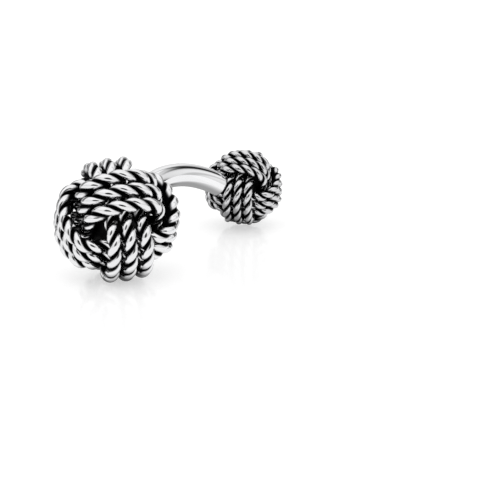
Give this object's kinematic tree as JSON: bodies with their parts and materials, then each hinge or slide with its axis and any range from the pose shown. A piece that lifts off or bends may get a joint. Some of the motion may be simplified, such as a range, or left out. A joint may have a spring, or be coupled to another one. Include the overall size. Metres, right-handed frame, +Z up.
{
  "type": "knot cufflink",
  "caption": "Ball-knot cufflink: a large and a small head of twisted rope turns in flat woven bands, joined by an arched round bar.",
  "frame": {"origin": "on the table, under the middle of the cufflink's bounding box, as it lies on both heads", "axes": "+Z up from the table; +Y along the cufflink from the large head to the small head; the large head's face looks towards -Y"},
  "size_m": [0.0116, 0.0312, 0.0116],
  "materials": {
    "rope_silver": "polished silver rope, blackened in the grooves",
    "bar_silver": "smooth mirror-polished silver",
    "blackened_silver": "matt blackened silver"
  },
  "bodies": {
    "root": {"front_core": "blackened_silver", "front_turn_x1": "rope_silver", "front_turn_x2": "rope_silver", "front_turn_x3": "rope_silver", "front_turn_y1": "rope_silver", "front_turn_y2": "rope_silver", "front_turn_y3": "rope_silver", "front_turn_z1": "rope_silver", "front_turn_z2": "rope_silver", "front_turn_z3": "rope_silver", "post": "bar_silver", "back_core": "blackened_silver", "back_turn_x1": "rope_silver", "back_turn_x2": "rope_silver", "back_turn_x3": "rope_silver", "back_turn_y1": "rope_silver", "back_turn_y2": "rope_silver", "back_turn_y3": "rope_silver", "back_turn_z1": "rope_silver", "back_turn_z2": "rope_silver", "back_turn_z3": "rope_silver"}
  },
  "joints": []
}
